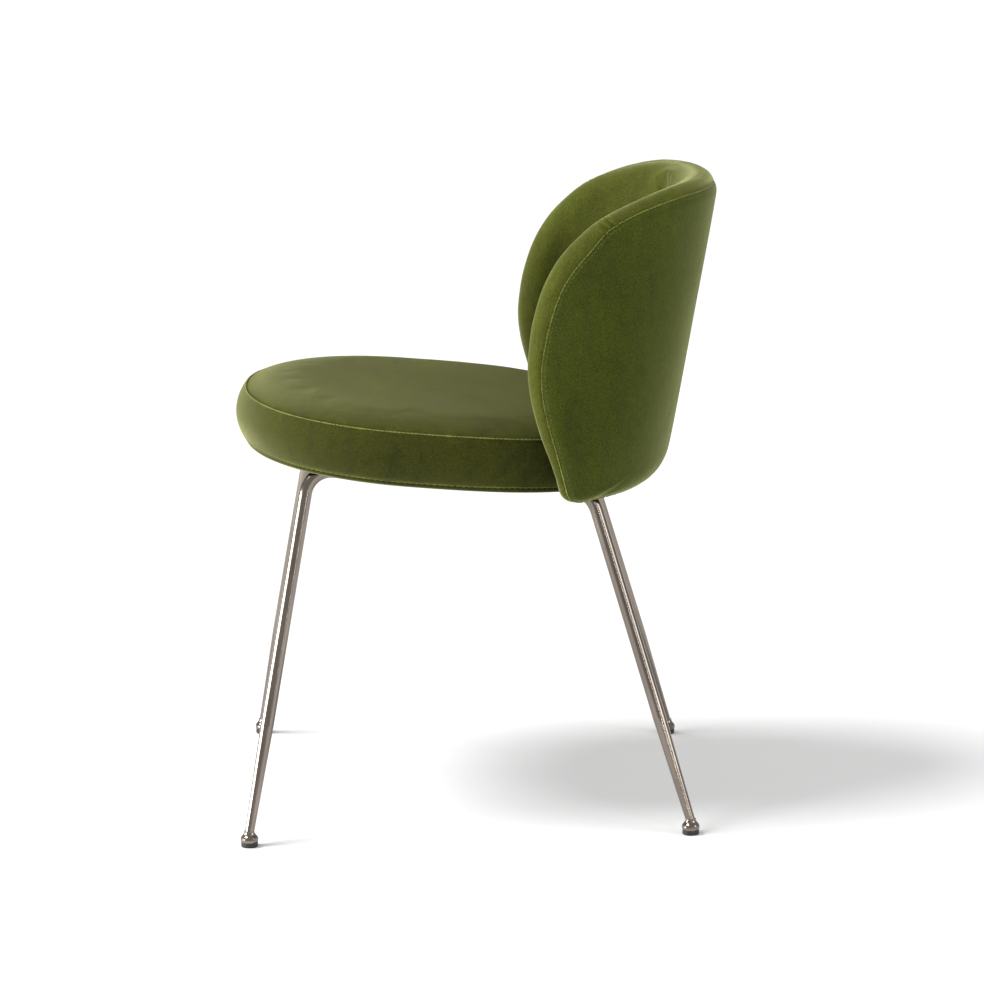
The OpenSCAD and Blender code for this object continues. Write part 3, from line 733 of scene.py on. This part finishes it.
# top panel: simulate on a coarse net, carry to the fine one
coarse, cpos, cshown, _ = seat_top_rows(120, 9.0)
free = np.array([i < cshown - 1 for i in range(len(coarse))])
pole = seat_world(np.array([0.0]), np.array([C1]), np.array([BAND_H + CROWN]))[0]
pole_under = seat_world(np.array([0.0]), np.array([C1]), np.array([56.1]))[0]
d_top = swell("swell_seat_top", coarse, free, pole, pole_under, pressure=3.0, cap=0.0005, ease=0.0002)
fine, fpos, fshown, al_fine = seat_top_rows(360, 4.5)
field = resample_field(d_top, cpos, fpos, 360)
field[fshown:] = 0
fine = fine + field
pole = pole + field[0].mean(axis=0)
top_panel = closed_form("seat_top_panel", fine, pole, pole_under)
keep(top_panel, velvet_top, "velvet", "seat_top_cover", "seat_topper", pad=0.85)
seat_top_edge = fine[fshown - 1]

# side band with its rolled hem
levels_c = np.concatenate([[62.5, 60.9, 58.5, 55, 51], np.arange(46, 12, -6), [11, 8.8, 7.4, 6.4]])
levels_f = np.concatenate([[62.5, 62.2, 61.8, 61.3, 60.6, 59.7, 58.5, 57, 55, 52.5, 50, 47.4], np.arange(44.5, 14, -3.5),
                           [13.2, 11.6, 10.2, 9.2, 8.4, 7.8, 7.3, 6.9, 6.6, 6.35]])
hem_section = [(6.0, -1.75), (5.6, -1.9), (5.2, -1.45), (4.6, -0.75), (3.9, -0.25), (3.1, 0.0), (2.2, -0.05), (1.3, -0.45),
               (0.6, -1.1), (0.15, -2.0), (0.0, -3.1), (0.1, -4.2), (0.6, -5.2), (1.5, -6.0), (3.0, -6.4), (6.0, -6.5), (10.5, -6.8),
               (10.6, -32.0), (11.9, -32.0), (11.9, -8.6), (15.0, -7.8), (30, -7.6), (46, -7.6), (55.7, -6.5), (60.0, -3.8)]


def band_all(n, levels):
    rows, pos, al = seat_band_rows(n, levels)
    shown = len(rows)
    extra = [seat_ring(al, w, o) for w, o in hem_section]
    return np.concatenate([rows, np.array(extra)]), np.concatenate([pos, 58 + np.arange(len(extra))]), shown, al


bc, bcp, bcs, _ = band_all(120, levels_c)
free = np.array([1 <= i < bcs - 1 for i in range(len(bc))])
d_band = swell("swell_seat_band", bc, free, loop=True, pressure=3.0, cap=0.0014, ease=0.0006)
bf, bfp, bfs, al = band_all(360, levels_f)
field = resample_field(d_band, bcp, bfp, 360)
field[bfs:] = 0
bf = bf + field
band = closed_form("seat_side_band", bf, loop=True)
keep(band, velvet_band, "velvet", "seat_side_cover", "seat_foam", pad=0.8)
seat_band_edge = bf[0]

# ------------------------------------------------------------------ build: back
gc = BackGrid(168)
gf = BackGrid(1008)


def tidy(rows_mm):
    return rows_mm * MM


ic, icp, ics = back_inner_rows(gc, 26, 7, 4)
free = np.array([i < ics - 1 for i in range(len(ic))])
d_in = swell("swell_back_inner", tidy(ic), free, tidy(gc.hub(-HALF_T)), tidy(gc.hub(-4.4)), pressure=3.0, cap=0.0022, ease=0.002)
inf, ifp, ifs = back_inner_rows(gf, 52, 18, 10)
field = resample_field(d_in, icp, ifp, gf.n)
field[ifs:] = 0
inner_rows = tidy(inf) + field


def seam_place(side, ph_deg, z):
    """Where the seam passes nearest to an angle and height, and the direction in which it runs there."""
    gap = (np.degrees(gf.ph) - side * ph_deg) ** 2 + (gf.z - z) ** 2
    i = int(np.argmin(gap))
    edge = inner_rows[ifs - 1]
    run = edge[(i + 1) % gf.n] - edge[i - 1]
    return tuple(map(float, edge[i])), tuple(map(float, run / np.linalg.norm(run)))


def gathers(rows, first, last, side, ph_deg, z, wave, spread, depth):
    """Real folds pulled across the rim into the seam, deepest just above it, fading away from one place."""
    at, along = (np.array(v) for v in seam_place(side, ph_deg, z))
    nrm = row_normals(rows)
    band = rows[first:last]
    away = np.linalg.norm(band - at, axis=2) / spread
    fade = np.maximum(0.0, 1 - away ** 2) ** 1.5
    run = ((band - at) * along).sum(axis=2)
    turn = 2 * np.pi * run / wave + 0.9 * np.sin(run * 410.0)
    q = np.linspace(0, 1, last - first)[:, None]
    pull = np.clip((1 - q) / 0.12, 0, 1) * q ** 0.6
    rows[first:last] = band + nrm[first:last] * (np.sin(turn) * fade * pull * depth)[:, :, None]
    return rows


for s_ in (1, -1):
    inner_rows = gathers(inner_rows, ifs - 18, ifs, s_, 63, 673, 0.0080, 0.024, 0.0022)
    inner_rows = gathers(inner_rows, ifs - 18, ifs, s_, 85, 587, 0.0084, 0.017, 0.0011)
# Lighter base colour than the other velvet panels: painted light on the inside face of the back.
velvet_in = velvet_material("velvet_back_inside", srgb(58, 62, 17), srgb(68, 73, 22), srgb(80, 85, 29), sheen=0.54,
                            streak=(6, 6, 1.0))
hub_in = tidy(gf.hub(-HALF_T)) + field[0].mean(axis=0)
inner = closed_form("back_inner_pad", inner_rows, hub_in, tidy(gf.hub(-4.4)))
keep(inner, velvet_in, "velvet", "back_inner_cover", "back_inner_foam", pad=0.8)
back_edge_in = inner_rows[ifs - 1]

oc, ocp, ocs = back_outer_rows(gc, 28, 6)
free = np.array([i < ocs - 1 for i in range(len(oc))])
d_out = swell("swell_back_outer", tidy(oc), free, tidy(gc.hub(HALF_T)), tidy(gc.hub(4.4)), pressure=2.0, cap=0.002, ease=0.0015)
of_, ofp, ofs = back_outer_rows(gf, 54, 16)
field = resample_field(d_out, ocp, ofp, gf.n)
field[ofs:] = 0
outer_rows = tidy(of_) + field
hub_out = tidy(gf.hub(HALF_T)) + field[0].mean(axis=0)
outer = closed_form("back_outer_pad", outer_rows, hub_out, tidy(gf.hub(4.4)))
keep(outer, velvet_out, "velvet", "back_outer_cover", "back_outer_foam", pad=0.7)


# ------------------------------------------------------------------ seams: sewn edges and stitches
def loop_frames(path, normal, closed=True):
    """Tangent and side of a closed line of points with surface normals."""
    t = unit_rows(np.roll(path, -1, axis=0) - np.roll(path, 1, axis=0))
    n = unit_rows(normal - t * (normal * t).sum(axis=1, keepdims=True))
    return t, n, np.cross(t, n)


def edge_roll(name, path, normal, radius, mat, slot_name="velvet", sides=8, flat=0.8, lift=0.0, wobble=0.0):
    """A thin roll of fabric along a seam: the folded edge; the light line along it is a painted highlight, from the
    lighter velvet it is given.
    """
    t, n, b = loop_frames(path, normal)
    m = len(path)
    rings = []
    for k in range(sides):
        a = 2 * math.pi * k / sides
        r = radius * (1 + wobble * np.sin(np.arange(m) * 0.9) * np.cos(np.arange(m) * 0.37))[:, None]
        rings.append(path + n * (lift + r * math.sin(a) * flat) + b * r * math.cos(a))
    obj = closed_form(name, np.array(rings), loop=True)
    return keep(obj, mat, slot_name)


def stitch_run(name, path, normal, length, gap, radius, mat, lift=0.0, skip=None, start=0.0):
    """Separate short threads, each a tapered bead that dips into the fabric at both ends, along a closed line."""
    seg = np.linalg.norm(np.roll(path, -1, axis=0) - path, axis=1)
    s = np.concatenate([[0], np.cumsum(seg)])
    loop = np.vstack([path, path[:1]])
    nloop = np.vstack([normal, normal[:1]])
    total = s[-1]
    count = int(total / (length + gap))
    pitch = total / count
    verts, faces = [], []
    profile = [(-0.5, 0.30, -0.9), (-0.32, 0.85, -0.1), (0.0, 1.0, 0.25), (0.32, 0.85, -0.1), (0.5, 0.30, -0.9)]
    for c in range(count):
        mid = start + (c + 0.5) * pitch
        if skip is not None and skip(np.array([np.interp(mid, s, loop[:, k]) for k in range(3)])):
            continue
        base = len(verts)
        for u, rr, up in profile:
            at = (mid + u * length * (0.94 + 0.12 * math.sin(c * 2.3))) % total
            p = np.array([np.interp(at, s, loop[:, k]) for k in range(3)])
            q = np.array([np.interp((at + 0.0004) % total, s, loop[:, k]) for k in range(3)])
            n = np.array([np.interp(at, s, nloop[:, k]) for k in range(3)])
            t = q - p
            t /= max(np.linalg.norm(t), 1e-12)
            n = n - t * n.dot(t)
            n /= max(np.linalg.norm(n), 1e-12)
            b = np.cross(t, n)
            for k in range(6):
                a = math.pi * k / 3
                verts.append(p + n * (lift + radius * up) + (n * math.sin(a) + b * math.cos(a)) * radius * rr)
        for j in range(len(profile) - 1):
            for k in range(6):
                a, d = base + j * 6 + k, base + j * 6 + (k + 1) % 6
                faces.append((a, d, d + 6, a + 6))
        faces.append(tuple(base + k for k in reversed(range(6))))
        faces.append(tuple(base + (len(profile) - 1) * 6 + k for k in range(6)))
    faces = flip_if_inside_out(verts, faces)
    obj = mesh_object(name, verts, faces)
    return keep(obj, mat, "velvet")


# seat top seam
al = al_fine
out_dir = unit_rows(seat_world(np.sin(al), -np.cos(al), 0.55 + 0 * al) - seat_world(0 * al, 0 * al, 0 * al))
seam_path = 0.5 * (seat_top_edge + seat_band_edge)
# The seam edge is drawn in the lighter seam-edge velvet: painted highlight along the top seam.
edge_roll("seat_top_seam_edge", seam_path, out_dir, 0.0007, velvet_edge_painted_highlight, lift=0.0003, wobble=0.3)
stitch_run("seat_top_seam_stitches", seam_path + out_dir * 0.0006, out_dir, 0.0034, 0.0012, 0.00032, thread_light, lift=0.0006)

# hem seam above the rolled edge
side_dir = unit_rows(seat_world(np.sin(al), -np.cos(al), 0 * al) - seat_world(0 * al, 0 * al, 0 * al))
hem_path = seat_ring(al, 6.6 + 0 * al, -0.9)
# The hem edge is drawn in the lighter seam-edge velvet: painted highlight along the hem seam.
edge_roll("seat_hem_seam_edge", hem_path, side_dir, 0.0006, velvet_edge_painted_highlight, lift=0.0, wobble=0.1)
stitch_run("seat_hem_stitches", seat_ring(al, 5.6 + 0 * al, -0.9), side_dir, 0.0042, 0.0022, 0.00045, thread_dark, lift=0.0001)

# wing seam
seam_n = unit_rows(np.cross(np.roll(back_edge_in, -1, axis=0) - np.roll(back_edge_in, 1, axis=0),
                            inner_rows[ifs - 3] - outer_rows[ofs - 3]))
centre = back_edge_in.mean(axis=0)
mids = tidy(gf.point(gf.seam, 0.0))
if ((back_edge_in - mids) * seam_n).sum() < 0:
    seam_n = -seam_n
# The wing seam edge is drawn in the lighter seam-edge velvet: painted highlight along the wing seam.
edge_roll("back_seam_edge", 0.5 * (back_edge_in + outer_rows[ofs - 1]), seam_n, 0.0007, velvet_edge_painted_highlight, lift=0.0004, wobble=0.35)
top_line = tidy(gf.point(gf.seam + 3.6, HALF_T * np.sin(np.arccos(np.clip(1 - (gf.seam + 3.6) / gf.rim, -1, 1)))))
stitch_run("back_seam_topstitch", top_line, seam_n, 0.0013, 0.0040, 0.00022, thread_mid, lift=0.0)
stitch_run("back_seam_stitches", 0.5 * (back_edge_in + outer_rows[ofs - 1]) + seam_n * 0.0006, seam_n, 0.0034, 0.0012, 0.0003,
           thread_light, lift=0.0006)

# ------------------------------------------------------------------ finishes on the CAD parts
paint = {
    bronze: ["left_side_frame", "right_side_frame", "front_cross_tube", "rear_cross_tube", "frame_tabs", "feet_metal"],
    zinc: ["foot_studs", "frame_screws", "frame_washers", "seat_t_nuts", "cover_staples"],
    blackened: ["left_back_strap", "right_back_strap", "strap_seat_screws", "strap_core_screws"],
    pad_black: ["glide_pads"],
    ply: ["seat_board", "back_core"],
    dust: ["dust_cover"],
    cord_mat: ["seat_hem_cord"],
}
for mat, names in paint.items():
    for name in names:
        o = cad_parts[name]
        if not o.material_slots:
            o.data.materials.append(mat)
        for sl in o.material_slots:
            sl.material = mat

# ------------------------------------------------------------------ camera, floor, light
yaw, pitch, roll = math.radians(1.09), math.radians(11.57), math.radians(-0.46)
fwd = Vector((-math.cos(pitch) * math.cos(yaw), math.cos(pitch) * math.sin(yaw), -math.sin(pitch)))
right0 = Vector((math.sin(yaw), math.cos(yaw), 0))
up0 = right0.cross(fwd)
right = math.cos(roll) * right0 + math.sin(roll) * up0
up = -math.sin(roll) * right0 + math.cos(roll) * up0
cam_data = bpy.data.cameras.new("Camera")
cam_data.lens = 4236 / 984 * 36
cam_data.sensor_width = 36
cam_data.sensor_fit = "HORIZONTAL"
cam_data.clip_end = 50
cam = link(bpy.data.objects.new("Camera", cam_data))
m = Matrix((right, up, -fwd)).transposed().to_4x4()
m.translation = Vector((4.703, -0.0703, 1.305))
cam.matrix_world = m
scene.camera = cam

floor_mesh = bpy.data.meshes.new("floor")
size = 18.0
floor_mesh.from_pydata([(-size, -size, 0), (size, -size, 0), (size, size, 0), (-size, size, 0)], [], [(0, 1, 2, 3)])
floor = link(bpy.data.objects.new("floor", floor_mesh))
fmat, fnt, fb = new_material("studio_floor")
fb.inputs["Base Color"].default_value = (0.88, 0.88, 0.88, 1)
fb.inputs["Roughness"].default_value = 0.9
fb.inputs["Specular IOR Level"].default_value = 0.05
back_side = fnt.nodes.new("ShaderNodeNewGeometry")
clear = fnt.nodes.new("ShaderNodeBsdfTransparent")
pick_side = fnt.nodes.new("ShaderNodeMixShader")
fnt.links.new(back_side.outputs["Backfacing"], pick_side.inputs[0])
fnt.links.new(fb.outputs[0], pick_side.inputs[1])
fnt.links.new(clear.outputs[0], pick_side.inputs[2])
fnt.links.new(pick_side.outputs[0], [n for n in fnt.nodes if n.type == "OUTPUT_MATERIAL"][0].inputs[0])
floor.data.materials.append(fmat)

world = bpy.data.worlds.new("studio")
scene.world = world
world.use_nodes = True
wt = world.node_tree
bg = wt.nodes["Background"]
bg.inputs[0].default_value = (1.0, 1.0, 1.0, 1)
bg.inputs[1].default_value = 0.52
white = wt.nodes.new("ShaderNodeBackground")
white.inputs[0].default_value = (1.0, 1.0, 1.0, 1)
white.inputs[1].default_value = 1.05
path = wt.nodes.new("ShaderNodeLightPath")
pick = wt.nodes.new("ShaderNodeMixShader")
wt.links.new(path.outputs["Is Camera Ray"], pick.inputs[0])
wt.links.new(bg.outputs[0], pick.inputs[1])
wt.links.new(white.outputs[0], pick.inputs[2])
wt.links.new(pick.outputs[0], wt.nodes["World Output"].inputs[0])


def area(name, loc, target, size_x, size_y, power, colour=(1, 1, 1)):
    data = bpy.data.lights.new(name, "AREA")
    data.shape = "RECTANGLE"
    data.size, data.size_y = size_x, size_y
    data.energy = power
    data.color = colour
    o = link(bpy.data.objects.new(name, data))
    o.location = loc
    o.rotation_euler = (Vector(target) - Vector(loc)).to_track_quat("-Z", "Y").to_euler()
    return o


def sun(name, direction, strength, angle):
    data = bpy.data.lights.new(name, "SUN")
    data.energy = strength
    data.angle = angle
    o = link(bpy.data.objects.new(name, data))
    o.rotation_euler = Vector(direction).to_track_quat("-Z", "Y").to_euler()
    return o


sun("key", (-0.10, 0.60, -1.0), 2.5, 0.42)
area("left_low", (0.5, -3.0, 0.55), (0, 0, 0.42), 2.0, 1.0, 105)
area("strip_a", (3.0, 1.6, 1.2), (0, 0, 0.3), 0.05, 1.6, 5)
area("strip_b", (3.0, 2.1, 1.2), (0, 0, 0.3), 0.05, 1.6, 5)
area("right_fill", (1.6, 3.2, 1.5), (0, 0.1, 0.5), 1.6, 1.6, 38)

scene.view_settings.view_transform = "Standard"
scene.view_settings.look = "None"
